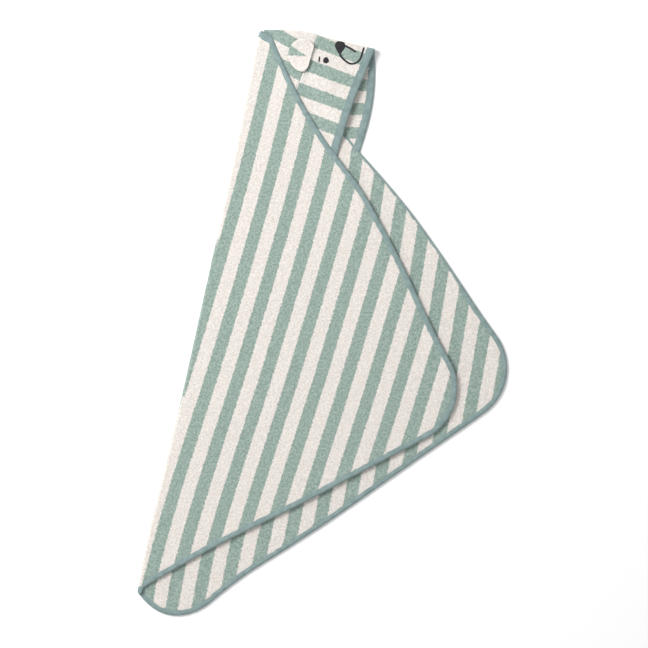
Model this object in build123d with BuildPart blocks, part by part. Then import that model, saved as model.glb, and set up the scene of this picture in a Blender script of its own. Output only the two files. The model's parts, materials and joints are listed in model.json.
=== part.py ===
from build123d import *
import os
from math import atan2, cos, degrees, radians, sin

# A hooded baby towel, folded once nearly on its diagonal and laid flat, with its hood turned out
# past the towel's edge and folded on its crown. Millimetres, +Z up, resting on z = 0, with the
# middle of its plan at the origin. Bearings are degrees anticlockwise from +X, seen from above.

# The towel
towel_side = 700
corner_radius = 88
pile = 4.0
layer_gap = 0.8
binding_width = 10
raw_edge_inset = 4
binding_lip = 1.0
stitch_inset = 8.5
thread_width = 0.8
thread_height = 0.3

# The fold, and the three edges that meet at the hood's corner
lower_edge_bearing = -53.1
lower_fold_angle = 49.1
upper_fold_angle = 90 - lower_fold_angle
crown_bearing = -10.9
crown_rise = 6

# The hood
hood_leg = 250
crown_length = 185
panel_thickness = 3.4
mouth_binding_width = 13
seam_distance = 88
hood_start = 9
edge_gap = 0.5
seam_slack_angle = 3.2
rise_start = 2
rise_end = 50
rise_height = 6.0
hood_underside = 0.6

# The ears and the embroidery, placed by distance from the apex along the face's axis and by
# distance to the side of it, away from the crown
ear_middle = {"lower": (72, 28), "upper": (72, 17.5)}
ear_radii = (18, 24)
ear_root = 85.5
ear_layer = 1.0
ear_pocket_margin = 2.5
ear_pocket_depth = 1.7
ear_clearance = 0.4
embroidery_height = 0.6
line_width = 2.7
eye_middle = (112.6, 14.2)
eye_radius = 4.8
eyebrow_ends = ((99.9, 11.2), (102.7, 19.7))
nose_middle = (126.5, -9.5)
nose_radii = (8.5, 7.0)
hidden_nose_middle = (126.5, 3.6)
hidden_nose_radii = (8.5, 3.2)
lip_ends = ((135.0, -14.0), (153.9, -12.5))
muzzle_points = ((137.5, -1.5), (155.5, 5.5), (163.6, -19.0))
hidden_muzzle_points = ((137.0, 9.0), (153.0, 14.5), (163.6, 2.5))
seam_row_offset = 3

lower_level = 0.0
upper_level = pile + layer_gap
fold_height = pile + layer_gap / 2
fold_bearing = lower_edge_bearing - lower_fold_angle
upper_edge_bearing = fold_bearing + upper_fold_angle
tall = 40


def bearing(angle):
    """The level unit vector with this bearing."""
    return Vector(cos(radians(angle)), sin(radians(angle)), 0)


def standing_plane(direction, normal_bearing):
    """An upright plane through the apex, its x axis along one bearing and its normal along another."""
    return Plane(origin=apex, x_dir=bearing(direction), z_dir=bearing(normal_bearing))


def towel_blank(inset):
    """The square as cut, drawn in by inset, with its three free corners rounded."""
    with BuildSketch() as blank:
        with Locations((towel_side / 2, towel_side / 2)):
            Rectangle(towel_side - 2 * inset, towel_side - 2 * inset)
        free_corners = blank.vertices().sort_by_distance((0, 0))[1:]
        fillet(free_corners, radius=corner_radius - inset)
    return blank.sketch


def edge_ring(outer_inset, inner_inset):
    """A strip that follows the square's edge, between two insets from it."""
    with BuildSketch() as ring:
        add(towel_blank(outer_inset))
        add(towel_blank(inner_inset), mode=Mode.SUBTRACT)
    return ring.sketch


def plan_box():
    """The box round the folded towel's plan, with the apex at the origin, but for the hood."""
    lower = Plane(origin=(0, 0, 0), x_dir=bearing(lower_edge_bearing - 90), z_dir=(0, 0, 1))
    upper = Plane(origin=(0, 0, 0), x_dir=bearing(upper_edge_bearing - 90), z_dir=(0, 0, 1))
    cut = Plane(origin=(0, 0, 0), x_dir=bearing(fold_bearing), z_dir=bearing(fold_bearing + 90))
    with BuildPart() as plan:
        for plane in (lower, upper):
            with BuildSketch(plane):
                add(towel_blank(0))
            extrude(amount=pile)
        split(bisect_by=cut, keep=Keep.TOP)
    return plan.part.bounding_box()


towel_box = plan_box()
crown_reach = crown_rise - hood_start / 2 * sin(radians(-crown_bearing))
apex = Vector(-towel_box.center().X, -(towel_box.min.Y + crown_reach) / 2, 0)
lower_plane = Plane(origin=apex, x_dir=bearing(lower_edge_bearing - 90), z_dir=(0, 0, 1))
upper_plane = Plane(origin=apex, x_dir=bearing(upper_edge_bearing - 90), z_dir=(0, 0, 1))
fold_plane = standing_plane(fold_bearing, fold_bearing + 90)


# --- The towel's two halves, each cut from the square by the fold ---


def towel_half(plane, level):
    """Half of the terry, with its raw edge thinned where the binding holds it."""
    with BuildPart() as cloth:
        with BuildSketch(plane.offset(level)):
            add(towel_blank(binding_width))
        extrude(amount=pile)
        with BuildSketch(plane.offset(level + binding_lip)):
            add(towel_blank(raw_edge_inset))
        extrude(amount=pile - 2 * binding_lip)
        split(bisect_by=fold_plane, keep=Keep.TOP)
    return cloth.part


def binding_half(plane, level):
    """Half of the binding, a strip folded over the terry's raw edge."""
    with BuildPart() as strip:
        with BuildSketch(plane.offset(level)):
            add(edge_ring(0, binding_width))
        extrude(amount=pile)
        with BuildSketch(plane.offset(level + binding_lip)):
            add(towel_blank(raw_edge_inset))
        extrude(amount=pile - 2 * binding_lip, mode=Mode.SUBTRACT)
        split(bisect_by=fold_plane, keep=Keep.TOP)
    return strip.part


def binding_stitching(plane, level):
    """The row of thread that holds the binding."""
    with BuildPart() as row:
        with BuildSketch(plane.offset(level + pile)):
            add(edge_ring(stitch_inset, stitch_inset + thread_width))
        extrude(amount=thread_height)
        split(bisect_by=fold_plane, keep=Keep.TOP)
    return row.part


# --- The hood, folded on its crown into a lower and an upper half ---

crown_start = Vector(0, crown_rise, 0)
crown_end = crown_start + bearing(crown_bearing) * crown_length
lower_corner = bearing(lower_edge_bearing) * hood_leg
upper_corner = bearing(upper_edge_bearing) * hood_leg


def mouth_normal(corner):
    """The bearing at right angles to the mouth, out of the hood."""
    along = crown_end - corner
    return degrees(atan2(along.Y, along.X)) - 90


lower_face = Plane(origin=apex, x_dir=bearing(mouth_normal(lower_corner)), z_dir=(0, 0, 1))
upper_face = Plane(origin=apex, x_dir=bearing(mouth_normal(upper_corner)), z_dir=(0, 0, 1))
mouth_distance = {
    "lower": lower_face.to_local_coords(apex + crown_end).X,
    "upper": upper_face.to_local_coords(apex + crown_end).X,
}
face_plane = {"lower": lower_face, "upper": upper_face}
sewn_ray = {
    "lower": (lower_edge_bearing, bearing(lower_edge_bearing + 90) * edge_gap),
    "upper": (upper_edge_bearing + seam_slack_angle, bearing(upper_edge_bearing + 90) * edge_gap),
}


def hood_blank(half, near, far, depth=None):
    """A half hood's outline between two distances along the face's axis. Depth keeps only a strip of
    that width beside the crown."""
    ray, gap = sewn_ray[half]
    crown = [apex + crown_start + bearing(crown_bearing) * reach for reach in (hood_start / 2, hood_leg)]
    if depth is None:
        sewn = [apex + gap + bearing(ray) * reach for reach in (hood_leg, hood_start / 2)]
    else:
        sewn = [point + bearing(crown_bearing - 90) * depth for point in reversed(crown)]
    corners = [face_plane[half].to_local_coords(point) for point in (*crown, *sewn)]
    with BuildSketch() as blank:
        with BuildLine():
            Polyline(*[(corner.X, corner.Y) for corner in corners], close=True)
        make_face()
        with Locations(((near + far) / 2, 0)):
            Rectangle(far - near, 4 * hood_leg, mode=Mode.INTERSECT)
    return blank.sketch


def rising_band(base, thickness, filled=False):
    """A band that rises from the flap's edge to the crown, as the upper half of the hood does. Filled
    reaches down to the underside of the flap."""
    low = upper_level + base
    high = low + rise_height
    reach = 2 * hood_leg
    if filled:
        underside = [(reach, upper_level), (-reach, upper_level)]
    else:
        underside = [(reach, high), (rise_end, high), (rise_start, low), (-reach, low)]
    top = [(-reach, low), (rise_start, low), (rise_end, high), (reach, high)]
    with BuildPart() as band:
        with BuildSketch(standing_plane(upper_edge_bearing + 90, upper_edge_bearing)):
            with BuildLine():
                Polyline(*[(x, z + thickness) for x, z in top], *underside, close=True)
            make_face()
        extrude(amount=2 * hood_leg, both=True)
    return band.part


def hood_plate(half, outline, base, thickness):
    """A plate of this outline: level in the lower half, rising to the crown in the upper half."""
    with BuildPart() as plate:
        if half == "lower":
            with BuildSketch(face_plane[half].offset(base)):
                add(outline)
            extrude(amount=thickness)
        else:
            with BuildSketch(face_plane[half]):
                add(outline)
            extrude(amount=tall)
            add(rising_band(base, thickness), mode=Mode.INTERSECT)
    return plate.part


def crown_turn(near, far):
    """The strip where the upper half turns down at the crown."""
    with BuildPart() as turn:
        with BuildSketch(face_plane["upper"]):
            add(hood_blank("upper", near, far, depth=panel_thickness))
        extrude(amount=tall)
        add(rising_band(0, panel_thickness, filled=True), mode=Mode.INTERSECT)
    return turn.part


def hood_panel(half, near, far):
    """One terry panel of the hood, with its raw edge thinned where the mouth's binding holds it."""
    base = hood_underside if half == "lower" else 0.0
    edge = mouth_distance[half] - mouth_binding_width
    with BuildPart() as panel:
        add(hood_plate(half, hood_blank(half, near, min(far, edge)), base, panel_thickness))
        if half == "upper":
            add(crown_turn(near, min(far, edge)))
        if far > edge:
            tongue = hood_blank(half, edge, mouth_distance[half] - raw_edge_inset)
            add(hood_plate(half, tongue, base + binding_lip, panel_thickness - 2 * binding_lip))
    return panel.part


def mouth_binding(half):
    """The strip folded over the edge of the hood's mouth."""
    base = hood_underside if half == "lower" else 0.0
    near = mouth_distance[half] - mouth_binding_width
    far = mouth_distance[half]
    tongue = hood_blank(half, near, far - raw_edge_inset)
    slot = hood_plate(half, tongue, base + binding_lip, panel_thickness - 2 * binding_lip)
    with BuildPart() as strip:
        add(hood_plate(half, hood_blank(half, near, far), base, panel_thickness))
        if half == "upper":
            add(crown_turn(near, far))
        add(slot, mode=Mode.SUBTRACT)
    return strip.part


def thread_row(half, distance, base):
    """A row of thread across a half hood, at a distance along the face's axis."""
    row = hood_blank(half, distance, distance + thread_width)
    return hood_plate(half, row, base, thread_height)


def ear_outline(half, margin=0.0):
    """The ear's round flap, cut off straight where it is sewn in."""
    with BuildSketch() as outline:
        with Locations((ear_middle[half][0], -ear_middle[half][1])):
            Ellipse(ear_radii[0] + margin, ear_radii[1] + margin)
        with Locations((ear_root + margin, 0)):
            Rectangle(towel_side, towel_side, align=(Align.MAX, Align.CENTER), mode=Mode.INTERSECT)
    return outline.sketch


def ear_plate(half, level):
    """One layer of an ear."""
    with BuildPart() as layer:
        with BuildSketch(face_plane[half].offset(level)):
            add(ear_outline(half))
        extrude(amount=ear_layer)
    return layer.part


def spot(middle, radii):
    """A round or oval patch of embroidery."""
    with BuildSketch() as patch:
        with Locations((middle[0], -middle[1])):
            Ellipse(*radii)
    return patch.sketch


def stroke(points):
    """A line of embroidery through two or three points."""
    points = [(along, -side) for along, side in points]
    with BuildSketch() as patch:
        with BuildLine():
            if len(points) == 2:
                Line(*points)
            else:
                ThreePointArc(*points)
        trace(line_width=line_width)
    return patch.sketch


def embroidery(half, outline):
    """A patch of raised thread on the hood's outer face, kept inside its edges."""
    base = 0.0 if half == "lower" else panel_thickness
    with BuildPart() as patch:
        add(hood_plate(half, outline, base, embroidery_height))
        with BuildSketch(face_plane[half]):
            add(hood_blank(half, seam_distance, mouth_distance[half] - mouth_binding_width))
        extrude(amount=tall, mode=Mode.INTERSECT)
    return patch.part


# --- Every piece, one STEP file each ---

with BuildPart() as towel_lower_half:
    add(towel_half(lower_plane, lower_level))

with BuildPart() as towel_upper_half:
    add(towel_half(upper_plane, upper_level))

with BuildPart() as binding_lower_half:
    add(binding_half(lower_plane, lower_level))

with BuildPart() as binding_upper_half:
    add(binding_half(upper_plane, upper_level))

with BuildPart() as binding_stitching_lower:
    add(binding_stitching(lower_plane, lower_level))

with BuildPart() as binding_stitching_upper:
    add(binding_stitching(upper_plane, upper_level))

with BuildPart() as hood_back_lower:
    add(hood_panel("lower", hood_start, seam_distance))
    with BuildSketch(lower_face):
        add(ear_outline("lower", ear_pocket_margin))
    extrude(amount=hood_underside + ear_pocket_depth, mode=Mode.SUBTRACT)

with BuildPart() as hood_back_upper:
    add(hood_panel("upper", hood_start, seam_distance))

with BuildPart() as hood_face_lower:
    add(hood_panel("lower", seam_distance, mouth_distance["lower"]))

with BuildPart() as hood_face_upper:
    add(hood_panel("upper", seam_distance, mouth_distance["upper"]))

with BuildPart() as hood_binding_lower:
    add(mouth_binding("lower"))

with BuildPart() as hood_binding_upper:
    add(mouth_binding("upper"))

lower_top = hood_underside + panel_thickness
ear_level = upper_level + rise_height + panel_thickness + ear_clearance

with BuildPart() as hood_binding_stitching_lower:
    add(thread_row("lower", mouth_distance["lower"] - mouth_binding_width + 1, lower_top))

with BuildPart() as hood_binding_stitching_upper:
    add(thread_row("upper", mouth_distance["upper"] - mouth_binding_width + 1, panel_thickness))

with BuildPart() as ear_seam_stitching_lower:
    add(thread_row("lower", seam_distance + seam_row_offset, hood_underside - thread_height))
    add(thread_row("lower", seam_distance + 2 * seam_row_offset, hood_underside - thread_height))

with BuildPart() as ear_seam_stitching_upper:
    add(thread_row("upper", seam_distance + seam_row_offset, panel_thickness))
    add(thread_row("upper", seam_distance + 2 * seam_row_offset, panel_thickness))

with BuildPart() as ear_front_lower:
    add(ear_plate("lower", 0))

with BuildPart() as ear_back_lower:
    add(ear_plate("lower", ear_layer))

with BuildPart() as ear_back_upper:
    add(ear_plate("upper", ear_level))

with BuildPart() as ear_front_upper:
    add(ear_plate("upper", ear_level + ear_layer))

with BuildPart() as nose_upper:
    add(embroidery("upper", spot(nose_middle, nose_radii)))

with BuildPart() as nose_lower:
    add(embroidery("lower", spot(hidden_nose_middle, hidden_nose_radii)))

with BuildPart() as muzzle_line_upper:
    add(embroidery("upper", stroke(muzzle_points)))

with BuildPart() as muzzle_line_lower:
    add(embroidery("lower", stroke(hidden_muzzle_points)))

with BuildPart() as lip_line:
    add(embroidery("upper", stroke(lip_ends)))

with BuildPart() as eye_upper:
    add(embroidery("upper", spot(eye_middle, (eye_radius, eye_radius))))

with BuildPart() as eye_lower:
    add(embroidery("lower", spot(eye_middle, (eye_radius, eye_radius))))

with BuildPart() as eyebrow_upper:
    add(embroidery("upper", stroke(eyebrow_ends)))

with BuildPart() as eyebrow_lower:
    add(embroidery("lower", stroke(eyebrow_ends)))

pieces = {
    "towel_lower_half": towel_lower_half,
    "towel_upper_half": towel_upper_half,
    "binding_lower_half": binding_lower_half,
    "binding_upper_half": binding_upper_half,
    "binding_stitching_lower": binding_stitching_lower,
    "binding_stitching_upper": binding_stitching_upper,
    "hood_back_lower": hood_back_lower,
    "hood_back_upper": hood_back_upper,
    "hood_face_lower": hood_face_lower,
    "hood_face_upper": hood_face_upper,
    "hood_binding_lower": hood_binding_lower,
    "hood_binding_upper": hood_binding_upper,
    "hood_binding_stitching_lower": hood_binding_stitching_lower,
    "hood_binding_stitching_upper": hood_binding_stitching_upper,
    "ear_seam_stitching_lower": ear_seam_stitching_lower,
    "ear_seam_stitching_upper": ear_seam_stitching_upper,
    "ear_front_lower": ear_front_lower,
    "ear_back_lower": ear_back_lower,
    "ear_front_upper": ear_front_upper,
    "ear_back_upper": ear_back_upper,
    "nose_upper": nose_upper,
    "nose_lower": nose_lower,
    "muzzle_line_upper": muzzle_line_upper,
    "muzzle_line_lower": muzzle_line_lower,
    "lip_line": lip_line,
    "eye_upper": eye_upper,
    "eye_lower": eye_lower,
    "eyebrow_upper": eyebrow_upper,
    "eyebrow_lower": eyebrow_lower,
}

os.makedirs("parts", exist_ok=True)
for name, piece in pieces.items():
    piece.part.label = name
    export_step(piece.part, f"parts/{name}.step")

# The joints' axes and places, which the towel's record repeats
print("apex", apex, "fold axis", bearing(fold_bearing), "fold height", fold_height)
print("lower hood axis", bearing(lower_edge_bearing))
print("crown", apex + crown_start, apex + crown_end, "mouth distances", mouth_distance)
print("ear axes", lower_face.y_dir, upper_face.y_dir)
print("ear roots", lower_face.from_local_coords((ear_root, 0)), upper_face.from_local_coords((ear_root, 0)))
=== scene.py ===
import json
from math import acos, cos, hypot, pi, radians, sin

import bpy
import numpy as np
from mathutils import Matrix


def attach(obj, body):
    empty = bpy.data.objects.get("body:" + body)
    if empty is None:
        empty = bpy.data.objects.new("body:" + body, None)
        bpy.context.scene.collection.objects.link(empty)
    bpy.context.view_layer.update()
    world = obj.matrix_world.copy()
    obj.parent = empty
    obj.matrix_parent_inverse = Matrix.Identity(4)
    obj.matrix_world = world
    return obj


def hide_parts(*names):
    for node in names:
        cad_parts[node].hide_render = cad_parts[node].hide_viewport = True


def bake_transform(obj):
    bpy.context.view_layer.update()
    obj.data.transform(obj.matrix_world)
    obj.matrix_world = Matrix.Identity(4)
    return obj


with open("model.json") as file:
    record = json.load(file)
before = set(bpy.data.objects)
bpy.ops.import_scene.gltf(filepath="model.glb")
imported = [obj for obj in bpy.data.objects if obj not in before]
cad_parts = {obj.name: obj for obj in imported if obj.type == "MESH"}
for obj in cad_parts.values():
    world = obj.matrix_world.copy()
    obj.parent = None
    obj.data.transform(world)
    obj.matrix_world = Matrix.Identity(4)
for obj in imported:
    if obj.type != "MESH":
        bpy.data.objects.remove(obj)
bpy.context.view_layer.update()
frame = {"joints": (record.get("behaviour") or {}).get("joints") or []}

# A hooded towel folded in two, with its hood folded on its crown. All lengths here are millimetres,
# and become metres where a mesh is made. A place on the cloth is (x, y) on the towel's square, whose
# corner in the hood is (0, 0). A place on the fold is its distance from that corner.

joints = {joint["name"]: joint for joint in frame["joints"]}
METRES = 0.001

# --- Driving dimensions ---

SIDE = 700
CORNER_RADIUS = 88
PILE = 4.0
LEVEL = {"lower": 0.0, "upper": 4.8}
FOLD_HEIGHT = 4.4
BINDING_WIDTH = 10
BINDING_SHOWN = {"lower": 8.2, "upper": 9.2}
BINDING_CLOTH = 0.75
TERRY_INSET = 4.0
# The lower half's edge is rolled under up to the first of these distances from the hood's corner, and
# lies flat past the second. Where it is rolled, its top drops and the terry reaches nearer the edge.
ROLLED_UNDER = (470, 560)
ROLLED_DROP = 1.5
ROLLED_TUCK = 2.2
PILE_RELIEF = 0.5
# More than any corner stands from the fold
FARTHEST_FROM_FOLD = 540

# The stitches' row is at this share of the shown binding
STITCH_SHARE = 0.82
STITCH_PITCH = 3.3
STITCH_LENGTH = 2.5
THREAD_RADIUS = 0.42

# Distances between the points of the meshes
TERRY_STEP = {"lower": 2.45, "upper": 2.15}
BINDING_STEP = 1.65
FOLD_STEP = 1.7
HOOD_STEP = 1.3
CROWN_STEP = 1.5
LINE_STEP = 0.35

HOOD_LEG = 250
HOOD_REACH = {"lower": HOOD_LEG, "upper": 238}
CROWN_LENGTH = 185
MOUTH_WIDTH = 205
PANEL_THICKNESS = 3.4
HOOD_UNDERSIDE = 0.6
HOOD_RISE = 6.0
# The hood's mouth stands this far from the apex, and its parts start at these shares of that distance
MOUTH_DISTANCE = 183
SEAM_DISTANCE = 88
MOUTH_BINDING = {"lower": 10.5, "upper": 13}
HOOD_START_SHARE = 4 / MOUTH_DISTANCE
SEAM_SHARE = SEAM_DISTANCE / MOUTH_DISTANCE
BINDING_START = {half: 1 - width / MOUTH_DISTANCE for half, width in MOUTH_BINDING.items()}
BINDING_OVERLAP = 0.02
MOUTH_STITCHES = MOUTH_DISTANCE - 11.4
SEAM_STITCHES = (91.2, 95)

# How far the crown's middle lies in from the straight, and how far its fold stands out, as
# (share of the crown, millimetres)
CROWN_IN = ((0, 5), (0.12, 3), (0.3, 0), (0.6, 1.0), (1, 2.5))
CROWN_BULGE = ((0, 0.5), (0.15, 3.2), (0.35, 5.6), (0.6, 3.6), (0.85, 2.6), (1, 2.2))
MOUTH_BULGE = {"lower": 9.0, "upper": -4.0}
UNDER_FLAP = {"lower": 1.2, "upper": 5.0}

STRIPE_PITCH = {"lower": 41.16, "upper": 41.8}
STRIPE_SLANT = 0.0542
STRIPE_START = 14.5
STRIPE_LEAN = {
    "lower": ((0, 0), (278, -2.4), (419, -1.3), (592, 1.5), (758, 5), (839, 9.5), (990, 14)),
    "upper": ((0, 3), (230, 8), (510, 3), (807, -8.5), (930, -8)),
}
HOOD_PITCH = 38.5
# The hood's stripes on each half and panel: their slope in degrees, where they start, and their pitch
HOOD_STRIPES = {
    ("lower", "face"): (0.5, -355, HOOD_PITCH),
    ("lower", "back"): (-6, -340, HOOD_PITCH),
    ("upper", "face"): (20.6, -430.6, 39.9),
    ("upper", "back"): (28, -385.8, HOOD_PITCH),
}
GREEN_SHARE = 0.49

# How far each edge bows out of the straight, as (share of the way along, millimetres)
FLAP_BOW = ((0, 9), (0.015, 10), (0.035, 8.5), (0.07, 5.5), (0.12, 2.5), (0.2, 1), (0.27, 3), (0.35, 10),
            (0.42, 17), (0.5, 19), (0.62, 18), (0.72, 14), (0.8, 11), (0.88, 10), (1, 7))
FLAP_HEM_BOW = ((0, 2), (0.26, -2), (0.45, -4), (0.63, -8.5), (0.8, -8), (0.95, -6), (1.2, -6))
LOWER_BOW = ((0, 0), (0.2, 4), (0.36, 8.5), (0.44, 13), (0.52, 16), (0.63, 15.3), (0.73, 12.2),
             (0.82, 8.7), (1, 7))
LOWER_HEM_BOW = ((0, 5), (0.1, 5), (0.3, 0), (0.4, -2.4), (0.53, -5.3), (0.66, -11), (0.8, -17.5),
                 (0.88, -16), (1, -3))
FOLD_BOW = ((0, 0.5), (0.15, 2.5), (0.32, 3.5), (0.5, 3.3), (0.69, 2), (0.8, -0.5), (0.907, -2.5),
            (0.98, -1), (1, 0))
# How far into the cloth a bow fades, and how near the fold an edge's bow starts
BOW_REACH = 150
BOW_START = 9

# The face, as (distance along the face's axis from the apex, distance to its side)
EYE = (112.6, 14.2)
EYE_RADII = (4.7, 5.0)
BROW = ((100.8, 11.4), (101.9, 16), (102.6, 20.2))
NOSE = ((118.2, -13.8), (119.2, -18.7), (122.1, -21.4), (126.6, -22.2), (131.4, -22), (134.6, -18.2),
        (135.2, -14.4), (133.4, -8.6), (131.3, -3), (129.2, -2.2), (125.4, -5.2), (120.6, -9.8))
LIP = ((133, -17.9), (143.3, -16.2), (154.4, -13.2))
MUZZLE = ((129.6, -3.2), (134.6, 1.5), (141.5, 5), (148.8, 7.2), (154.6, 6.3), (159.6, 3.2), (163, -1.8),
          (164.3, -9), (164.2, -16.2), (164.1, -24.6))
HIDDEN_NOSE = (126.3, 4.5)
HIDDEN_NOSE_RADII = (8.6, 4.2)
HIDDEN_MUZZLE = ((137, 9), (142, 12.5), (148, 14.6), (153, 14.5), (159, 10.5), (163.6, 2.5))
LINE_WIDTH = 3.0
BROW_WIDTH = 2.4
EMBROIDERY_HEIGHT = 0.75
THREAD_RIDGE = 0.8

# The ears: the outline of the flap in the same terms, from one end of its root to the other
EAR = {
    "upper": ((87.6, -2.4), (80.8, -6.2), (73.2, -8.3), (65, -6.3), (56.8, -0.6), (51.8, 9), (51, 18.5),
              (53, 26.8), (57.4, 33.6), (64, 39.2), (72.5, 43), (79.8, 43.6), (85, 41.2), (88, 35.5),
              (88.3, 29.2), (87.8, 23)),
    "lower": ((85.5, 8.5), (80, 5.6), (72, 4.2), (63, 7), (56.6, 15), (54.2, 28), (56.8, 41),
              (63, 49), (72, 52), (80, 50.4), (85.5, 47.4)),
}
EAR_LAYER = {"upper": 1.5, "lower": 0.9}
EAR_STEP = 1.1
# The edges of the upper ear's green wedge: slope in degrees and start
EAR_WEDGE = ((34.6, -339.0), (3.5, -426.5))
# The hollow over the lower ear: its middle, radii and height
EAR_HOLLOW = (72, 28)
EAR_HOLLOW_RADII = (18, 24)
EAR_HOLLOW_HEIGHT = 2.3

# --- The frame's own directions, read from the joints ---

apex = np.array(joints["towel_fold"]["pos_m"][:2]) / METRES
fold_dir = np.array(joints["towel_fold"]["axis"][:2])
across_dir = np.array((-fold_dir[1], fold_dir[0]))
lower_edge_dir = np.array(joints["hood_seam"]["axis"][:2])
lower_fold_angle = acos(float(fold_dir @ lower_edge_dir))
fold_cos, fold_sin = cos(lower_fold_angle), sin(lower_fold_angle)
upper_edge_dir = fold_dir * fold_sin + across_dir * fold_cos
crown_start = np.array(joints["hood_crown"]["pos_m"][:2]) / METRES
crown_dir = -np.array(joints["hood_crown"]["axis"][:2])
crown_dir /= hypot(*crown_dir)
fold_length = SIDE / fold_sin


def turned(direction):
    """The direction a quarter turn anticlockwise from this one."""
    return np.array((-direction[1], direction[0]))


edge_dir = {"lower": lower_edge_dir, "upper": upper_edge_dir}
edge_out = {half: turned(direction) for half, direction in edge_dir.items()}


# --- Numbers over a surface ---


def smooth(value):
    """0 below 0, 1 above 1, and a smooth step between."""
    value = np.clip(value, 0, 1)
    return value * value * (3 - 2 * value)


def through(knots, value):
    """A smooth curve through a few (place, height) knots."""
    place, height = np.array(knots, float).T
    slope = np.gradient(height, place)
    span = np.clip(np.searchsorted(place, value) - 1, 0, len(place) - 2)
    width = place[span + 1] - place[span]
    t = np.clip((value - place[span]) / width, 0, 1)
    start, end = 2 * t**3 - 3 * t**2 + 1, 3 * t**2 - 2 * t**3
    leave, arrive = t**3 - 2 * t**2 + t, t**3 - t**2
    return (start * height[span] + end * height[span + 1]
            + width * (leave * slope[span] + arrive * slope[span + 1]))


def noise(x, y, scale, seed):
    """Smooth noise between -1 and 1, with features of this size in millimetres."""
    lattice = np.random.default_rng(seed).uniform(-1, 1, (128, 128))
    x, y = np.asarray(x) / scale + 64, np.asarray(y) / scale + 64
    left, low = np.floor(x).astype(int), np.floor(y).astype(int)
    u, v = smooth(x - left), smooth(y - low)
    a, b = lattice[left % 128, low % 128], lattice[(left + 1) % 128, low % 128]
    c, d = lattice[left % 128, (low + 1) % 128], lattice[(left + 1) % 128, (low + 1) % 128]
    return (a * (1 - u) + b * u) * (1 - v) + (c * (1 - u) + d * u) * v


def pile_relief(x, y, seed):
    """The tufted surface of terry, from clumps down to single loops."""
    return PILE_RELIEF * (0.55 * noise(x, y, 2.6, seed) + 0.45 * noise(x, y, 6.5, seed + 1)
                          + 0.25 * noise(x, y, 17, seed + 2))


# --- From the towel's square to the floor ---


def fold_place(half, x, y):
    """Distance along the fold, and distance from it, of a place on the square."""
    s = x * fold_cos + y * fold_sin
    q = x * fold_sin - y * fold_cos
    return s, q if half == "lower" else -q


def square_place(half, s, d):
    """The place on the square at a distance along the fold and a distance from it."""
    q = d if half == "lower" else -d
    return s * fold_cos + q * fold_sin, s * fold_sin - q * fold_cos


def to_plan(half, x, y):
    """Where a place on the square lies, seen from above. It never crosses the fold."""
    s, d = fold_place(half, x, y)
    d = np.maximum(d, 0)
    x, y = square_place(half, s, d)
    along, inside = (x, y) if half == "lower" else (y, x)
    hem_along, hem_inside = (y, SIDE - x) if half == "lower" else (x, SIDE - y)
    edge_bow, hem_bow = (LOWER_BOW, LOWER_HEM_BOW) if half == "lower" else (FLAP_BOW, FLAP_HEM_BOW)
    away = smooth(d / BOW_START)
    edge = through(edge_bow, along / SIDE) * np.exp(-((inside / BOW_REACH) ** 2)) * away
    hem = through(hem_bow, hem_along / SIDE) * np.exp(-((hem_inside / BOW_REACH) ** 2)) * away
    fold = through(FOLD_BOW, s / fold_length) * np.exp(-((d / BOW_REACH) ** 2))
    place = apex + s[..., None] * fold_dir + (d + fold)[..., None] * across_dir
    return place + edge[..., None] * edge_out[half] + hem[..., None] * edge_dir[half]


def inside_by(x, y):
    """How far a place is inside the towel's edge."""
    half_side = SIDE / 2
    radius = np.where((x < half_side) & (y < half_side), 0.0, CORNER_RADIUS)
    dx, dy = np.abs(x - half_side) - half_side + radius, np.abs(y - half_side) - half_side + radius
    outside = np.hypot(np.maximum(dx, 0), np.maximum(dy, 0)) + np.minimum(np.maximum(dx, dy), 0)
    return radius - outside


def stripe(half, plan):
    """The stripes' phase on the towel. The whole numbers are where a green stripe starts."""
    s, d = (plan - apex) @ fold_dir, (plan - apex) @ across_dir
    q = d if half == "lower" else -d
    lean = through(STRIPE_LEAN[half], s)
    return -(q - STRIPE_SLANT * s + STRIPE_START + lean) / STRIPE_PITCH[half]


def upper_lift(x, y):
    """How far the flap stands off the lower half: a little, in long soft waves near its edges."""
    s, d = fold_place("upper", x, y)
    wave = 0.9 + 0.9 * noise(s, d, 95, 21)
    near_edge = np.exp(-np.minimum(x, SIDE - y) / 60)
    return smooth(d / 70) * (0.5 * wave + 1.3 * near_edge * wave)


def lower_lift(x, y):
    """How far the lower half stands off the floor, near its free corner only."""
    s, d = fold_place("lower", x, y)
    near_edge = np.exp(-np.minimum(y, SIDE - x) / 26)
    return smooth((d - 60) / 120) * near_edge * (0.5 + 0.5 * noise(s, d, 60, 23))


LIFT = {"lower": lower_lift, "upper": upper_lift}


# --- Mesh builders ---


def make_mesh(name, points, faces, phases, material):
    """A smooth-shaded object from points in millimetres, with the stripes' coordinates as its UV map."""
    mesh = bpy.data.meshes.new(name)
    mesh.from_pydata((np.asarray(points) * METRES).tolist(), [], [list(map(int, f)) for f in faces])
    mesh.update()
    corners = np.empty(len(mesh.loops), np.int64)
    mesh.loops.foreach_get("vertex_index", corners)
    layer = mesh.uv_layers.new(name="stripe")
    layer.data.foreach_set("uv", np.asarray(phases, np.float32)[corners].ravel())
    mesh.polygons.foreach_set("use_smooth", np.ones(len(mesh.polygons), bool))
    mesh.set_sharp_from_angle(angle=radians(55))
    mesh.materials.append(material)
    piece = bpy.data.objects.new(name, mesh)
    bpy.context.scene.collection.objects.link(piece)
    return piece


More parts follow.
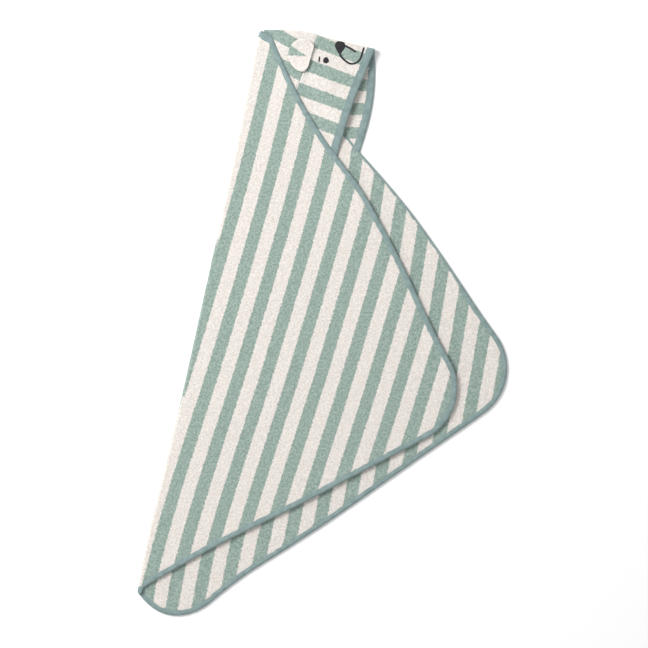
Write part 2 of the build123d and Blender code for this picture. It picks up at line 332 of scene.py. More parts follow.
def slab(name, plan, low, high, phase, material, keep=None):
    """A closed sheet over a grid of places: a top, an underside and walls round the quads it keeps."""
    rows, columns = low.shape
    number = np.arange(rows * columns).reshape(rows, columns)
    quads = np.stack((number[:-1, :-1], number[1:, :-1], number[1:, 1:], number[:-1, 1:]), -1)
    quads = quads.reshape(-1, 4) if keep is None else quads[keep]
    flat = plan.reshape(-1, 2)
    first, second = flat[quads[:, 1]] - flat[quads[:, 0]], flat[quads[:, 3]] - flat[quads[:, 0]]
    if np.sum(first[:, 0] * second[:, 1] - first[:, 1] * second[:, 0]) < 0:
        quads = quads[:, ::-1]
    count = rows * columns
    edges = np.stack((quads, np.roll(quads, -1, 1)), -1).reshape(-1, 2)
    code, twin = edges[:, 0] * count + edges[:, 1], edges[:, 1] * count + edges[:, 0]
    rim = edges[~np.isin(code, twin)]
    walls = np.stack((rim[:, 1], rim[:, 0], rim[:, 0] + count, rim[:, 1] + count), -1)
    faces = np.concatenate((quads, quads[:, ::-1] + count, walls))
    points = np.concatenate((np.column_stack((flat, high.ravel())), np.column_stack((flat, low.ravel()))))
    phases = np.column_stack((np.tile(phase.ravel(), 2), np.zeros(2 * count)))
    used, faces = np.unique(faces, return_inverse=True)
    return make_mesh(name, points[used], faces.reshape(-1, 4), phases[used], material)


def tube(name, rings, phases, material):
    """A skin over a run of rings of points, with its ends capped."""
    count, sides, _ = rings.shape
    number = np.arange(count * sides).reshape(count, sides)
    here, ahead = number[:-1], number[1:]
    faces = np.stack((here, np.roll(here, -1, 1), np.roll(ahead, -1, 1), ahead), -1).reshape(-1, 4).tolist()
    faces += [number[0][::-1].tolist(), number[-1].tolist()]
    return make_mesh(name, rings.reshape(-1, 3), faces, phases.reshape(-1, 2), material)


def facing_out(piece):
    """Turns a closed piece's faces outwards."""
    mesh = piece.data
    volume = 0.0
    for face in mesh.polygons:
        a, b, c = (mesh.vertices[face.vertices[i]].co for i in (0, 1, 2))
        volume += a.dot(b.cross(c)) * (len(face.vertices) - 2)
    if volume < 0:
        mesh.flip_normals()
    return piece


def resampled(points, step):
    """Points evenly spaced along a line of points."""
    points = np.asarray(points, float)
    length = np.concatenate(([0], np.cumsum(np.linalg.norm(np.diff(points, axis=0), axis=1))))
    places = np.linspace(0, length[-1], max(2, int(length[-1] / step) + 1))
    return np.column_stack([np.interp(places, length, column) for column in points.T])


def rounded(corners, radius):
    """A line through square corners, each turned with an arc of this radius."""
    line = [np.array(corners[0], float)]
    for before, corner, after in zip(corners, corners[1:], corners[2:]):
        corner = np.array(corner, float)
        back = (np.array(before) - corner) / np.linalg.norm(np.array(before) - corner)
        ahead = (np.array(after) - corner) / np.linalg.norm(np.array(after) - corner)
        middle = corner + (back + ahead) * radius
        for turn in np.linspace(0, pi / 2, 60):
            line.append(middle - ahead * radius * cos(turn) - back * radius * sin(turn))
    line.append(np.array(corners[-1], float))
    return resampled(line, 0.5)


def curve_through(points, step):
    """A smooth line through a few given points."""
    points = np.array(points, float)
    knots = np.arange(len(points))
    places = np.linspace(0, len(points) - 1, 12 * len(points))
    line = np.column_stack([through(np.column_stack((knots, column)), places) for column in points.T])
    return resampled(line, step)


def stitches(name, rows, material):
    """Short stitches along rows of points, each a small spindle pulled into the cloth at its ends."""
    sides = 6
    turns = np.arange(sides) * 2 * pi / sides
    points, faces = [], []
    for row in rows:
        line = resampled(row, STITCH_PITCH)
        for start, after in zip(line, line[1:]):
            gap = after - start
            run = gap * STITCH_LENGTH / STITCH_PITCH
            level = np.array((-gap[1], gap[0], 0)) / max(hypot(gap[0], gap[1]), 1e-6)
            rise = np.cross(gap / np.linalg.norm(gap), level)
            first = len(points)
            for share, swell, sink in ((0, 0.45, 0.3), (0.2, 1, 0), (0.8, 1, 0), (1, 0.45, 0.3)):
                middle = start + run * share - np.array((0, 0, sink * THREAD_RADIUS))
                for turn in turns:
                    reach = level * cos(turn) + rise * sin(turn) * 0.75
                    points.append(middle + reach * THREAD_RADIUS * swell)
            for ring in range(3):
                for side in range(sides):
                    a, b = first + ring * sides + side, first + ring * sides + (side + 1) % sides
                    faces.append((a, b, b + sides, a + sides))
            faces.append(tuple(first + side for side in reversed(range(sides))))
            faces.append(tuple(first + 3 * sides + side for side in range(sides)))
    return facing_out(make_mesh(name, points, faces, np.zeros((len(points), 2)), material))


# --- Materials ---


class Nodes:
    """A material's node tree, with short calls for the nodes used here."""

    def __init__(self, name, roughness, sheen=0.0):
        self.material = bpy.data.materials.new(name)
        self.material.use_nodes = True
        self.tree = self.material.node_tree
        self.shader = self.tree.nodes["Principled BSDF"]
        self.shader.inputs["Roughness"].default_value = roughness
        self.shader.inputs["Sheen Weight"].default_value = sheen
        self.shader.inputs["Sheen Roughness"].default_value = 0.6
        self.shader.inputs["Specular IOR Level"].default_value = 0.25
        self.place = self.tree.nodes.new("ShaderNodeTexCoord").outputs["Object"]

    def link(self, value, socket):
        """Joins an output to a socket, or sets the socket to a plain value."""
        if hasattr(value, "is_output"):
            self.tree.links.new(value, socket)
        else:
            socket.default_value = value

    def noise(self, size, detail=2.0):
        """Noise with features of this size in millimetres."""
        node = self.tree.nodes.new("ShaderNodeTexNoise")
        node.inputs["Scale"].default_value = 1 / (size * METRES)
        node.inputs["Detail"].default_value = detail
        self.link(self.place, node.inputs["Vector"])
        return node.outputs["Fac"]

    def cells(self, size):
        """Distance to the nearest of scattered points this far apart in millimetres."""
        node = self.tree.nodes.new("ShaderNodeTexVoronoi")
        node.inputs["Scale"].default_value = 1 / (size * METRES)
        self.link(self.place, node.inputs["Vector"])
        return node.outputs["Distance"]

    def bands(self, size, turn):
        """Ridges this wide in millimetres, turned by an angle in the plan."""
        turned_place = self.tree.nodes.new("ShaderNodeMapping")
        turned_place.inputs["Rotation"].default_value = (0, 0, radians(turn))
        self.link(self.place, turned_place.inputs["Vector"])
        node = self.tree.nodes.new("ShaderNodeTexWave")
        node.inputs["Scale"].default_value = 0.314 / (size * METRES)
        node.inputs["Distortion"].default_value = 1.2
        node.inputs["Detail"].default_value = 1.0
        self.link(turned_place.outputs["Vector"], node.inputs["Vector"])
        return node.outputs["Fac"]

    def math(self, operation, a, b=0.0, c=0.0):
        """Arithmetic on up to three values or sockets."""
        node = self.tree.nodes.new("ShaderNodeMath")
        node.operation = operation
        for value, socket in zip((a, b, c), node.inputs):
            self.link(value, socket)
        return node.outputs["Value"]

    def step(self, value, low, high, to_low=0.0, to_high=1.0):
        """A smooth step from one number to another as the value passes from low to high."""
        node = self.tree.nodes.new("ShaderNodeMapRange")
        node.interpolation_type = "SMOOTHSTEP"
        for name, number in (("From Min", low), ("From Max", high), ("To Min", to_low), ("To Max", to_high)):
            node.inputs[name].default_value = number
        self.link(value, node.inputs["Value"])
        return node.outputs["Result"]

    def finish(self, colour, height, distance, strength=1.0):
        """Sets the colour and a bump this many millimetres high, and gives the finished material."""
        bump = self.tree.nodes.new("ShaderNodeBump")
        bump.inputs["Distance"].default_value = distance * METRES
        bump.inputs["Strength"].default_value = strength
        self.link(height, bump.inputs["Height"])
        self.link(bump.outputs["Normal"], self.shader.inputs["Normal"])
        self.link(colour, self.shader.inputs["Base Color"])
        return self.material


def colour_mix(nodes, share, a, b):
    """A mix of two colours or sockets. Inputs 6 and 7 and output 2 are the mix node's colour sockets."""
    node = nodes.tree.nodes.new("ShaderNodeMix")
    node.data_type = "RGBA"
    nodes.link(share, node.inputs[0])
    nodes.link(a, node.inputs[6])
    nodes.link(b, node.inputs[7])
    return node.outputs[2]


def terry_material():
    """Looped terry: woven stripes with ragged edges, mottled lighter and darker in clumps, with painted shade
    in the gaps between its loops.
    """
    nodes = Nodes("terry_stripes", 0.96, sheen=0.12)
    stripes = nodes.tree.nodes.new("ShaderNodeUVMap")
    stripes.uv_map = "stripe"
    split = nodes.tree.nodes.new("ShaderNodeSeparateXYZ")
    nodes.link(stripes.outputs["UV"], split.inputs["Vector"])
    ragged = nodes.math("MULTIPLY_ADD", nodes.noise(2.6, 3), 0.13, -0.065)
    phase = nodes.math("FRACT", nodes.math("ADD", split.outputs["X"], ragged))
    soft = 0.035
    starts = nodes.step(phase, 0.0, soft)
    ends = nodes.step(phase, GREEN_SHARE, GREEN_SHARE + soft, 1.0, 0.0)
    green_here = nodes.math("MULTIPLY", starts, ends)
    clumps, loops = nodes.noise(3.2, 4), nodes.cells(1.3)
    green = colour_mix(nodes, nodes.step(clumps, 0.3, 0.7), (0.222, 0.312, 0.27, 1), (0.385, 0.485, 0.435, 1))
    cream = colour_mix(nodes, nodes.step(clumps, 0.3, 0.7), (0.74, 0.68, 0.63, 1), (0.89, 0.84, 0.79, 1))
    # Painted shade: the colour darkens towards near black in the gaps between the loops, where the bump is
    # lowest.
    shade = nodes.step(loops, 0.15, 0.75, 0.0, 0.26)
    colour = colour_mix(nodes, green_here, cream, green)
    colour = colour_mix(nodes, shade, colour, (0.12, 0.13, 0.12, 1))
    height = nodes.math("SUBTRACT", nodes.math("MULTIPLY", nodes.noise(0.9, 2), 0.6), loops)
    return nodes.finish(colour, height, 0.7, 0.85)


def binding_material():
    """The binding's plain-woven cotton, a grey teal, with painted shade between its threads."""
    nodes = Nodes("binding_weave", 0.85, sheen=0.08)
    weave = nodes.math("MULTIPLY", nodes.bands(0.55, 20), nodes.bands(0.55, 110))
    faded = nodes.step(nodes.noise(9, 3), 0.3, 0.7)
    colour = colour_mix(nodes, faded, (0.215, 0.298, 0.292, 1), (0.285, 0.378, 0.37, 1))
    # Painted shade: the colour darkens where the weave is low, in the gaps between its threads.
    colour = colour_mix(nodes, nodes.step(weave, 0.0, 0.8, 0.22, 0.0), colour, (0.07, 0.12, 0.12, 1))
    return nodes.finish(colour, weave, 0.18, 0.7)


def thread_material():
    """Twisted sewing thread, with painted shade in the grooves of its twist."""
    nodes = Nodes("sewing_thread_twist", 0.6, sheen=0.05)
    twist = nodes.bands(0.5, 40)
    # Painted shade and highlight: darker in the twist's grooves, lighter on its ridges.
    colour = colour_mix(nodes, twist, (0.20, 0.30, 0.30, 1), (0.34, 0.45, 0.44, 1))
    return nodes.finish(colour, twist, 0.08)


def embroidery_material():
    """Near-black satin stitch, its threads side by side, with painted shade between them."""
    nodes = Nodes("satin_stitch_black", 0.45, sheen=0.1)
    threads = nodes.bands(0.55, 65)
    # Painted shade and highlight: darker between the threads, lighter on their crowns.
    colour = colour_mix(nodes, threads, (0.010, 0.009, 0.012, 1), (0.032, 0.030, 0.038, 1))
    return nodes.finish(colour, threads, 0.2, 0.9)


terry = terry_material()
binding_cotton = binding_material()
sewing_thread = thread_material()
embroidery_thread = embroidery_material()


# --- The towel's two halves ---


def shown(half, x):
    """How much of the binding shows on top, from 0 where the lower half's edge is rolled under to 1."""
    start, end = ROLLED_UNDER
    return smooth((x - start) / (end - start)) if half == "lower" else 1 + 0 * x


def terry_half(half, body):
    """Half of the towel's terry, on a grid in line with the fold."""
    step = TERRY_STEP[half]
    reach = SIDE * (fold_cos + fold_sin)
    s, d = np.meshgrid(np.arange(0, reach, step), np.arange(0, FARTHEST_FROM_FOLD, step), indexing="ij")
    x, y = square_place(half, s, d)
    inset = inside_by(x, y)
    held = inset > TERRY_INSET - ROLLED_TUCK * (1 - shown(half, x))
    keep = held[:-1, :-1] & held[1:, :-1] & held[1:, 1:] & held[:-1, 1:]
    lift = LIFT[half](x, y)
    thin = (1 - smooth((inset - TERRY_INSET) / (BINDING_WIDTH - TERRY_INSET + 1))) * shown(half, x)
    seed = 3 if half == "lower" else 11
    fade = smooth(d / 8 + 0.35)
    high = LEVEL[half] + PILE + lift + pile_relief(s, d, seed) * fade - 1.0 * thin
    low = LEVEL[half] + lift + 0.3 * np.abs(pile_relief(s, d, seed + 40)) * fade + 1.0 * thin
    plan = to_plan(half, x, y)
    piece = slab(f"terry_{half}_half", plan, low, high, stripe(half, plan), terry, keep)
    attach(piece, body)
    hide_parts(f"towel_{half}_half")
    return piece


def outline(half):
    """The half's own edge on the square, from the corner in the hood past the far end of the fold."""
    far_end = (SIDE / fold_sin * fold_cos - 16, SIDE)
    if half == "lower":
        return rounded(((0, 0), (SIDE, 0), (SIDE, SIDE), far_end), CORNER_RADIUS)
    return rounded(((0, 0), (0, SIDE), (SIDE / fold_sin * fold_cos, SIDE)), CORNER_RADIUS)


def inward(half, line):
    """The unit vector from each point of the outline towards the cloth."""
    along = np.gradient(line, axis=0)
    along /= np.linalg.norm(along, axis=1)[:, None]
    return np.column_stack((-along[:, 1], along[:, 0])) * (1 if half == "lower" else -1)


def folded_strip(height, width):
    """A binding's cross-section, as (distance in from the edge, height): a strip folded round the edge."""
    cloth = BINDING_CLOTH
    middle = tall = height / 2
    turn = np.linspace(-pi / 2, pi / 2, 7)
    outer = [(tall * 0.9 * (1 - cos(a)), middle + tall * sin(a)) for a in turn]
    inner = [(cloth + 0.4 + (tall - cloth) * 0.9 * (1 - cos(a)), middle + (tall - cloth) * sin(a))
             for a in turn[::-1]]
    top = [(width * 0.3, height + 0.35), (width * 0.55, height + 0.2), (width * 0.78, height - 0.45),
           (width * 0.88, height - 0.6), (width, height - 1.0)]
    under_top = [(width, height - 1.0 - cloth * 0.6), (width * 0.5, height - cloth)]
    under = [(width * 0.5, cloth), (width, cloth)]
    base = [(width, 0.1), (width * 0.84, 0.22), (width * 0.5, 0)]
    return np.array([*outer, *top, *under_top, *inner, *under, *base])


def towel_binding(half, body):
    """The strip folded over the half's edge, slightly puckered by its stitching."""
    line = resampled(outline(half), BINDING_STEP)
    into = inward(half, line)
    run = np.arange(len(line)) * BINDING_STEP
    section = folded_strip(PILE + 0.5, BINDING_SHOWN[half])
    place = line[:, None] + into[:, None] * section[None, :, :1]
    wander = 0.35 * noise(run, run * 0, 11, 31) + 0.5 * noise(run, run * 0, 37, 32)
    place += into[:, None] * wander[:, None, None] * (section[None, :, :1] / BINDING_WIDTH)
    plan = to_plan(half, place[..., 0], place[..., 1])
    pucker = 0.16 * np.cos(2 * pi * run / STITCH_PITCH) + 0.3 * noise(run, run * 0, 7, 33)
    lifted = LIFT[half](place[..., 0], place[..., 1])
    crest = np.where(section[:, 1] > PILE / 2, 1, 0)
    rolled = (1 - shown(half, place[..., 0])) * crest * smooth((section[:, 0] - 1) / 3)
    puckered = pucker[:, None] * crest * (section[:, 0] > 1)
    height = LEVEL[half] + section[:, 1] + lifted + puckered - ROLLED_DROP * rolled
    rings = np.concatenate((plan, height[..., None]), -1)
    piece = facing_out(tube(f"binding_{half}", rings, np.zeros((*height.shape, 2)), binding_cotton))
    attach(piece, body)
    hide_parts(f"binding_{half}_half")
    return piece


def towel_stitching(half, body):
    """The binding's row of stitches, on the cloth's two faces."""
    line = resampled(outline(half), BINDING_STEP)
    place = line + inward(half, line) * BINDING_SHOWN[half] * STITCH_SHARE
    s, d = fold_place(half, place[:, 0], place[:, 1])
    place = place[d > 1.5]
    plan = to_plan(half, place[:, 0], place[:, 1])
    lifted = LIFT[half](place[:, 0], place[:, 1])
    top = np.column_stack((plan, LEVEL[half] + PILE + 0.12 + lifted))
    top = top[shown(half, place[:, 0]) > 0.9]
    base = np.column_stack((plan, LEVEL[half] + 0.32 + lifted))
    piece = stitches(f"binding_stitches_{half}", (top, base), sewing_thread)
    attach(piece, body)
    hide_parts(f"binding_stitching_{half}")
    return piece


def towel_fold(name, start, end, material, swell=0.0):
    """The stretch of cloth that turns from the lower half to the upper half, over part of the fold."""
    s = np.linspace(start, end, max(3, int((end - start) / FOLD_STEP)))
    sweep = np.linspace(-pi / 2, pi / 2, 13)
    outer = FOLD_HEIGHT + swell
    inner = FOLD_HEIGHT - PILE + 0.05
    arc_d = np.concatenate((-outer * np.cos(sweep), -inner * np.cos(sweep[::-1])))
    arc_z = np.concatenate((outer * np.sin(sweep), inner * np.sin(sweep[::-1]))) + FOLD_HEIGHT + swell
    stations, turn_d = np.meshgrid(s, arc_d, indexing="ij")
    tip = np.minimum(stations, fold_length - stations)
    turn_d = turn_d * np.sqrt(1 - (1 - np.clip(tip / 7, 0, 1)) ** 2)
    run = np.broadcast_to(arc_z, stations.shape)
    rough = pile_relief(stations, run * 1.5, 17) * (0.8 if swell == 0 else 0.2)
    rough = np.where(np.arange(len(arc_d))[None] < len(sweep), rough, 0) * np.cos((run - FOLD_HEIGHT) / 3.2)
    bow = through(FOLD_BOW, stations / fold_length)
    place = apex + stations[..., None] * fold_dir + (turn_d + bow - rough)[..., None] * across_dir
    rings = np.concatenate((place, np.broadcast_to(arc_z, stations.shape)[..., None]), -1)
    share = smooth(run / (2 * FOLD_HEIGHT))
    on_fold = apex + stations[..., None] * fold_dir + bow[..., None] * across_dir
    phase = stripe("lower", on_fold) * (1 - share) + stripe("upper", on_fold) * share
    phases = np.stack((phase, np.zeros_like(phase)), -1)
    piece = facing_out(tube(name, rings, phases, material))
    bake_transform(piece)
    return piece


terry_lower = terry_half("lower", "lower_half")
terry_upper = terry_half("upper", "upper_half")
binding_lower = towel_binding("lower", "lower_half")
binding_upper = towel_binding("upper", "upper_half")
stitches_lower = towel_stitching("lower", "lower_half")
stitches_upper = towel_stitching("upper", "upper_half")
apex_span = BINDING_WIDTH / fold_cos * 0.72
far_span = BINDING_WIDTH / fold_sin
terry_fold = towel_fold("terry_fold", apex_span, fold_length - far_span, terry)
binding_fold_apex = towel_fold("binding_fold_apex", 0.5, apex_span, binding_cotton, 0.3)
binding_fold_end = towel_fold(
    "binding_fold_end", fold_length - far_span, fold_length - 0.5, binding_cotton, 0.3)


# --- The hood ---

crown_end = crown_start + crown_dir * CROWN_LENGTH


def hood_plan(half, k, v):
    """A place on half of the hood. k runs from the apex to the mouth, v from the sewn edge to the crown."""
    reach = k * HOOD_REACH[half]
    under = np.full_like(reach, UNDER_FLAP[half]) * smooth(k * 5)
    x, y = (reach, under) if half == "lower" else (under, reach)
    sewn = to_plan(half, x, y)
    crown = crown_start + (k * CROWN_LENGTH)[..., None] * crown_dir
    crown = crown - through(CROWN_IN, k)[..., None] * turned(crown_dir)
    place = sewn * (1 - v)[..., None] + crown * v[..., None]
    return place + (MOUTH_BULGE[half] * k**3 * np.sin(pi * v))[..., None] * face_axis[half]


def mouth_axis(half):
    """The unit vector out of the hood, at right angles to its mouth."""
    along = crown_end - (apex + edge_dir[half] * HOOD_LEG)
    along = along / hypot(*along)
    return np.array((along[1], -along[0]))


face_axis = {half: mouth_axis(half) for half in ("lower", "upper")}


def face_place(half, h, side):
    """The plan of a place given by its distances along and beside the face's axis."""
    axis = face_axis[half]
    return apex + np.asarray(h)[..., None] * axis - np.asarray(side)[..., None] * turned(axis)


def hood_base(half, plan):
    """The height of the hood's underside."""
    if half == "lower":
        return HOOD_UNDERSIDE + np.zeros(plan.shape[:-1])
    away = (plan - apex) @ edge_out["upper"]
    puff = 0.5 * (1 + noise(plan[..., 0], plan[..., 1], 38, 51)) * smooth(away / 40)
    return LEVEL["upper"] - 0.4 + (HOOD_RISE + 0.4) * smooth((away - 4) / 46) + puff


def down_slope(plan, slope):
    """How far down the plan a place is, at right angles to lines that drop this many degrees to the right."""
    angle = radians(slope)
    return -plan[..., 1] * cos(angle) - plan[..., 0] * sin(angle)


def hood_stripe(half, panel, plan):
    """The stripes' phase on a panel of the hood."""
    slope, start, pitch = HOOD_STRIPES[half, panel]
    return (down_slope(plan, slope) - start) / pitch


def ear_pocket(plan):
    """1 where the ear lies under the lower half of the hood, and 0 away from it."""
    h = (plan - apex) @ face_axis["lower"]
    side = -(plan - apex) @ turned(face_axis["lower"])
    out = np.hypot((h - EAR_HOLLOW[0]) / EAR_HOLLOW_RADII[0], (side - EAR_HOLLOW[1]) / EAR_HOLLOW_RADII[1])
    return smooth((1.28 - out) / 0.14)


def hood_grid(half, k_start, k_end):
    """A grid of places over part of a half hood."""
    along = max(4, int((k_end - k_start) * MOUTH_DISTANCE / HOOD_STEP))
    wide = max(12, int(0.5 * (k_start + k_end) * MOUTH_WIDTH / HOOD_STEP))
    k, v = np.meshgrid(np.linspace(k_start, k_end, along), np.linspace(0, 1, wide), indexing="ij")
    return k, v, hood_plan(half, k, v)


def hood_panel(half, panel, k_start, k_end):
    """One terry panel of half of the hood."""
    k, v, plan = hood_grid(half, k_start, k_end)
    base = hood_base(half, plan)
    from_seam = np.minimum(k - k_start, k_end - k) * MOUTH_DISTANCE
    pinch = 1.0 * (1 - smooth(from_seam / 3.2))
    seed = 61 if half == "upper" else 71
    sewn = smooth(v * MOUTH_WIDTH * k / 5)
    high = base + PANEL_THICKNESS - pinch + pile_relief(plan[..., 0], plan[..., 1], seed) - 1.2 * (1 - sewn)
    low = base + 0.25 * pinch
    if half == "lower" and panel == "back":
        low = low + (EAR_HOLLOW_HEIGHT - HOOD_UNDERSIDE) * ear_pocket(plan)
    phase = hood_stripe(half, panel, plan)
    piece = slab(f"hood_{panel}_panel_{half}", plan, low, high, phase, terry)
    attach(piece, f"hood_{half}")
    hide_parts(f"hood_{panel}_{half}")


def mouth_binding(half):
    """The strip folded over the hood's mouth."""
    k_start = BINDING_START[half]
    k, v, plan = hood_grid(half, k_start, 1.0)
    base = hood_base(half, plan)
    across = (k - k_start) / (1 - k_start)
    run = v * MOUTH_WIDTH
    pucker = 0.18 * np.cos(2 * pi * run / STITCH_PITCH) + 0.3 * noise(run, 0 * run, 9, 81)
    full = np.sqrt(np.clip(1 - (np.clip(across - 0.72, 0, 1) / 0.28) ** 2, 0.02, 1))
    dip = 0.35 * np.exp(-(((across - 0.12) / 0.06) ** 2))
    middle = base + PANEL_THICKNESS / 2
    tall = PANEL_THICKNESS / 2 + 0.35
    high = middle + tall * full + (pucker - dip) * full
    low = np.maximum(middle - tall * full, 0.1)
    piece = slab(f"hood_mouth_binding_{half}", plan, low, high, 0 * k, binding_cotton)
    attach(piece, f"hood_{half}")
    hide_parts(f"hood_binding_{half}")


def hood_row(half, distance, lift):
    """A row of stitches across a half hood, on its outer face."""
    k = np.full(90, distance / MOUTH_DISTANCE)
    plan = hood_plan(half, k, np.linspace(0.06, 0.985, 90))
    base = hood_base(half, plan)
    height = base + PANEL_THICKNESS + lift if half == "upper" else base - 0.12
    return np.column_stack((plan, height))


def hood_stitching(half):
    """The mouth binding's stitches, and the two rows beside the seam that holds the ears."""
    mouth = stitches(f"mouth_stitches_{half}", [hood_row(half, MOUTH_STITCHES, 0.25)], sewing_thread)
    rows = [hood_row(half, distance, 0.15) for distance in SEAM_STITCHES]
    seam = stitches(f"seam_stitches_{half}", rows, sewing_thread)
    for piece, node in ((mouth, "hood_binding_stitching"), (seam, "ear_seam_stitching")):
        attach(piece, f"hood_{half}")
        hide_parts(f"{node}_{half}")


def crown_fold(name, panel, k_start, k_end, material):
    """The cloth that turns from the upper half of the hood to the lower half, along the crown."""
    k = np.linspace(k_start, k_end, max(4, int((k_end - k_start) * CROWN_LENGTH / CROWN_STEP)))
    edge = {half: hood_plan(half, k, np.ones_like(k)) for half in ("lower", "upper")}
    base = hood_base("upper", edge["upper"])
    lowest, highest = HOOD_UNDERSIDE + 0 * k, base + PANEL_THICKNESS
    sweep = np.linspace(-pi / 2, pi / 2, 15)
    bulge = through(CROWN_BULGE, k)[:, None]
    middle, tall = (lowest + highest)[:, None] / 2, (highest - lowest)[:, None] / 2
    gap = (base - HOOD_UNDERSIDE - PANEL_THICKNESS)[:, None]
    hollow, half_gap = (base + HOOD_UNDERSIDE + PANEL_THICKNESS)[:, None] / 2, gap / 2
    out = np.concatenate((bulge * np.cos(sweep)[None], 0.35 * bulge * np.cos(sweep[::-1])[None]), 1)
    height = np.concatenate((middle + tall * np.sin(sweep), hollow + half_gap * np.sin(sweep[::-1])), 1)
    outside = np.arange(out.shape[1])[None] < len(sweep)
    rough = pile_relief(k[:, None] * CROWN_LENGTH, height * 1.4, 91) * outside
    out = out + rough * (0.8 if material is terry else 0.15) * np.cos((height - middle) / tall)
    place = edge["upper"][:, None] + out[..., None] * turned(crown_dir)
    rings = np.concatenate((place, height[..., None]), -1)
    phase = hood_stripe("upper", panel, edge["upper"])[:, None] + 0 * out
    phases = np.stack((phase - (middle + tall - height) / HOOD_PITCH, 0 * out), -1)
    piece = facing_out(tube(name, rings, phases, material))
    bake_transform(piece)


for half in ("lower", "upper"):
    hood_panel(half, "back", HOOD_START_SHARE, SEAM_SHARE)
    hood_panel(half, "face", SEAM_SHARE, BINDING_START[half] + BINDING_OVERLAP)
    mouth_binding(half)
    hood_stitching(half)
crown_fold("crown_fold_back", "back", HOOD_START_SHARE, SEAM_SHARE, terry)
crown_fold("crown_fold_face", "face", SEAM_SHARE, BINDING_START["upper"], terry)
crown_fold("crown_fold_binding", "face", BINDING_START["upper"], 1.0, binding_cotton)


# --- The embroidered face ---


def outer_face(half, plan):
    """The height of the hood's outer face, and which way is out of it."""
    if half == "upper":
        return hood_base("upper", plan) + PANEL_THICKNESS, 1
    return hood_base("lower", plan), -1


def finish_embroidery(piece, half, node):
    """Joins a piece of embroidery to its half of the hood."""
    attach(piece, f"hood_{half}")
    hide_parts(node)


def satin_line(name, half, points, node, width=LINE_WIDTH):
    """A raised line of satin stitch, with a ridge for each thread across it."""
    line = curve_through(points, LINE_STEP)
    plan = face_place(half, line[:, 0], line[:, 1])
    along = np.gradient(plan, axis=0)
    along /= np.linalg.norm(along, axis=1)[:, None]
    aside = np.column_stack((-along[:, 1], along[:, 0]))
    base, out = outer_face(half, plan)
    ends = np.minimum(np.arange(len(line)), np.arange(len(line))[::-1]) * LINE_STEP
    taper = np.sqrt(np.clip(ends / (width / 2), 0.02, 1))
    ridge = 1 + 0.10 * np.cos(2 * pi * np.arange(len(line)) / 2)
    turn = np.linspace(0, 2 * pi, 14, endpoint=False)
    reach = (width / 2 * taper * ridge)[:, None] * np.cos(turn)
    tall = (EMBROIDERY_HEIGHT * taper)[:, None] * np.sin(turn)
    place = plan[:, None] + reach[..., None] * aside[:, None]
    depth = 0.25 if half == "upper" else 0.0
    height = base[:, None] + out * np.maximum(tall, -0.3) + depth
    height = np.maximum(height, 0.05)
    rings = np.concatenate((place, height[..., None]), -1)
    piece = facing_out(tube(name, rings, np.zeros((*height.shape, 2)), embroidery_thread))
    finish_embroidery(piece, half, node)


def oval(middle, radii):
    """Points round an oval, a little uneven as stitching is."""
    turn = np.linspace(0, 2 * pi, 24, endpoint=False)
    uneven = 1 + 0.04 * np.sin(3 * turn + 1) + 0.03 * np.sin(2 * turn)
    return [(middle[0] + radii[0] * r * cos(a), middle[1] + radii[1] * r * sin(a))
            for a, r in zip(turn, uneven)]


def satin_patch(name, half, points, node):
    """A filled patch of satin stitch inside these points, domed and ridged."""
    points = [*points, points[0]]
    ring = curve_through(points, THREAD_RIDGE)
    middle = ring.mean(0)
    rho = np.linspace(0, 1, 16)[:, None]
    h = middle[0] + rho * (ring[None, :, 0] - middle[0])
    side = middle[1] + rho * (ring[None, :, 1] - middle[1])
    rho = rho + 0 * h
    plan = face_place(half, h, side)
    base, out = outer_face(half, plan)
    ridge = 0.12 * np.cos(2 * pi * h / THREAD_RIDGE) * (1 - rho**3)
    dome = EMBROIDERY_HEIGHT * 1.15 * np.sqrt(np.clip(1 - rho**4, 0, 1)) + ridge
    if half == "upper":
        low, high = base - 0.2, base + 0.25 + dome
    else:
        low, high = np.maximum(base - 0.55 - ridge * 0.3, 0.03) * (1 - rho**6) + base * rho**6, base + 0.3
    piece = slab(name, plan, low, high, 0 * rho, embroidery_thread)
    finish_embroidery(piece, half, node)


satin_patch("nose_patch_upper", "upper", NOSE, "nose_upper")
satin_patch("eye_patch_upper", "upper", oval(EYE, EYE_RADII), "eye_upper")
satin_line("muzzle_stitch_upper", "upper", MUZZLE, "muzzle_line_upper")
satin_line("lip_stitch", "upper", LIP, "lip_line")
satin_line("eyebrow_stitch_upper", "upper", BROW, "eyebrow_upper", BROW_WIDTH)
satin_patch("nose_patch_lower", "lower", oval(HIDDEN_NOSE, HIDDEN_NOSE_RADII), "nose_lower")
satin_patch("eye_patch_lower", "lower", oval(EYE, EYE_RADII), "eye_lower")
satin_line("muzzle_stitch_lower", "lower", HIDDEN_MUZZLE, "muzzle_line_lower")
satin_line("eyebrow_stitch_lower", "lower", BROW, "eyebrow_lower", BROW_WIDTH)


# --- The ears ---


def ear_stripe(half, h, side):
    """The ear's own stripes: a green wedge between two cream ends, where its dart turns them."""
    plan = face_place(half, h, side)
    if half == "lower":
        return hood_stripe("lower", "back", plan)
    (upper_slope, upper_start), (lower_slope, lower_start) = EAR_WEDGE
    below_upper = down_slope(plan, upper_slope) - upper_start
    above_lower = lower_start - down_slope(plan, lower_slope)
    inside = np.minimum(below_upper, above_lower)
    return np.clip(GREEN_SHARE - inside / HOOD_PITCH, 0.04, 0.96)


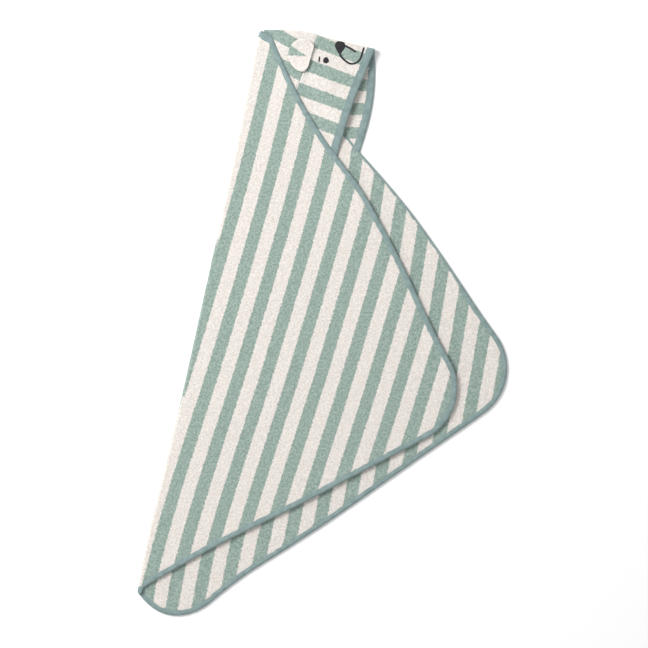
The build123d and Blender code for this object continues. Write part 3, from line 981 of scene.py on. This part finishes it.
def ear_layer(half, front):
    """One of an ear's two layers of terry, in rings from the middle of its root to its outline."""
    ring = curve_through(EAR[half], EAR_STEP)
    root = 0.5 * (ring[0] + ring[-1])
    rho = np.linspace(0, 1, 34)[:, None]
    h = root[0] + rho * (ring[None, :, 0] - root[0])
    side = root[1] + rho * (ring[None, :, 1] - root[1])
    plan = face_place(half, h, side)
    thick = EAR_LAYER[half]
    from_rim = 1 - smooth((1 - rho) / 0.10)
    swell = np.sin(pi * np.clip(rho, 0, 1) ** 1.5)
    rough = pile_relief(plan[..., 0], plan[..., 1], 101)
    if half == "upper":
        floor = hood_base("upper", plan) + PANEL_THICKNESS + 0.75 + 0.6 * rho
        wedge = smooth((GREEN_SHARE - ear_stripe(half, h, side)) * 9)
        curl = 2.4 * smooth((rho - 0.6) / 0.4) - 1.1 * wedge * smooth((rho - 0.3) / 0.3)
        level = floor + curl + (thick + 0.05 if front else 0)
        high = level + thick * (1 - 0.55 * from_rim) + (rough + 0.6 * swell if front else 0 * h)
        low = level + 0.35 * thick * from_rim
    else:
        level = (0.08 if front else thick + 0.12) + 0 * h
        high = level + thick * (1 - 0.4 * from_rim)
        low = level + 0.35 * thick * from_rim * (not front)
    layer = "front" if front else "back"
    piece = slab(f"ear_{layer}_terry_{half}", plan, low, high, ear_stripe(half, h, side), terry)
    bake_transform(piece)
    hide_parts(f"ear_{layer}_{half}")


for half in ("lower", "upper"):
    ear_layer(half, front=False)
    ear_layer(half, front=True)


# --- The two halves are one sheet of terry, 700 mm square before it was folded. ---


# --- Floor, light and camera ---


def pale_floor():
    """A plain white floor, well past the camera's view."""
    mesh = bpy.data.meshes.new("floor")
    reach = 6.0
    mesh.from_pydata([(-reach, -reach, 0), (reach, -reach, 0), (reach, reach, 0), (-reach, reach, 0)],
                     [], [(0, 1, 2, 3)])
    floor = bpy.data.objects.new("floor", mesh)
    bpy.context.scene.collection.objects.link(floor)
    nodes = Nodes("floor_paper", 1.0)
    colour = colour_mix(nodes, nodes.noise(400), (0.94, 0.94, 0.945, 1), (0.95, 0.95, 0.95, 1))
    mesh.materials.append(nodes.finish(colour, nodes.noise(3), 0.01, 0.1))


def soft_light(name, place, size, power):
    """A large square lamp that points at the towel."""
    lamp = bpy.data.lights.new(name, "AREA")
    lamp.size = size
    lamp.energy = power
    light = bpy.data.objects.new(name, lamp)
    light.location = place
    direction = -light.location
    light.rotation_euler = direction.to_track_quat("-Z", "Y").to_euler()
    bpy.context.scene.collection.objects.link(light)


def studio():
    """Even white surroundings, and a large soft lamp to the upper left."""
    world = bpy.data.worlds.new("studio")
    world.use_nodes = True
    world.node_tree.nodes["Background"].inputs["Color"].default_value = (1, 1, 1, 1)
    world.node_tree.nodes["Background"].inputs["Strength"].default_value = 0.68
    bpy.context.scene.world = world
    soft_light("key", (-1.5, 1.1, 1.9), 1.1, 62)
    bpy.context.scene.view_settings.view_transform = "Standard"
    bpy.context.scene.view_settings.look = "None"


def camera():
    """Straight above the towel, framed as the whole towel with white round it."""
    height = 6.0
    view_width = 1.0404
    data = bpy.data.cameras.new("camera")
    data.sensor_width = 36
    data.lens = data.sensor_width * height / view_width
    data.clip_end = 50
    shot = bpy.data.objects.new("camera", data)
    shot.location = (0.00485, -0.00055, height)
    bpy.context.scene.collection.objects.link(shot)
    bpy.context.scene.camera = shot


pale_floor()
studio()
camera()
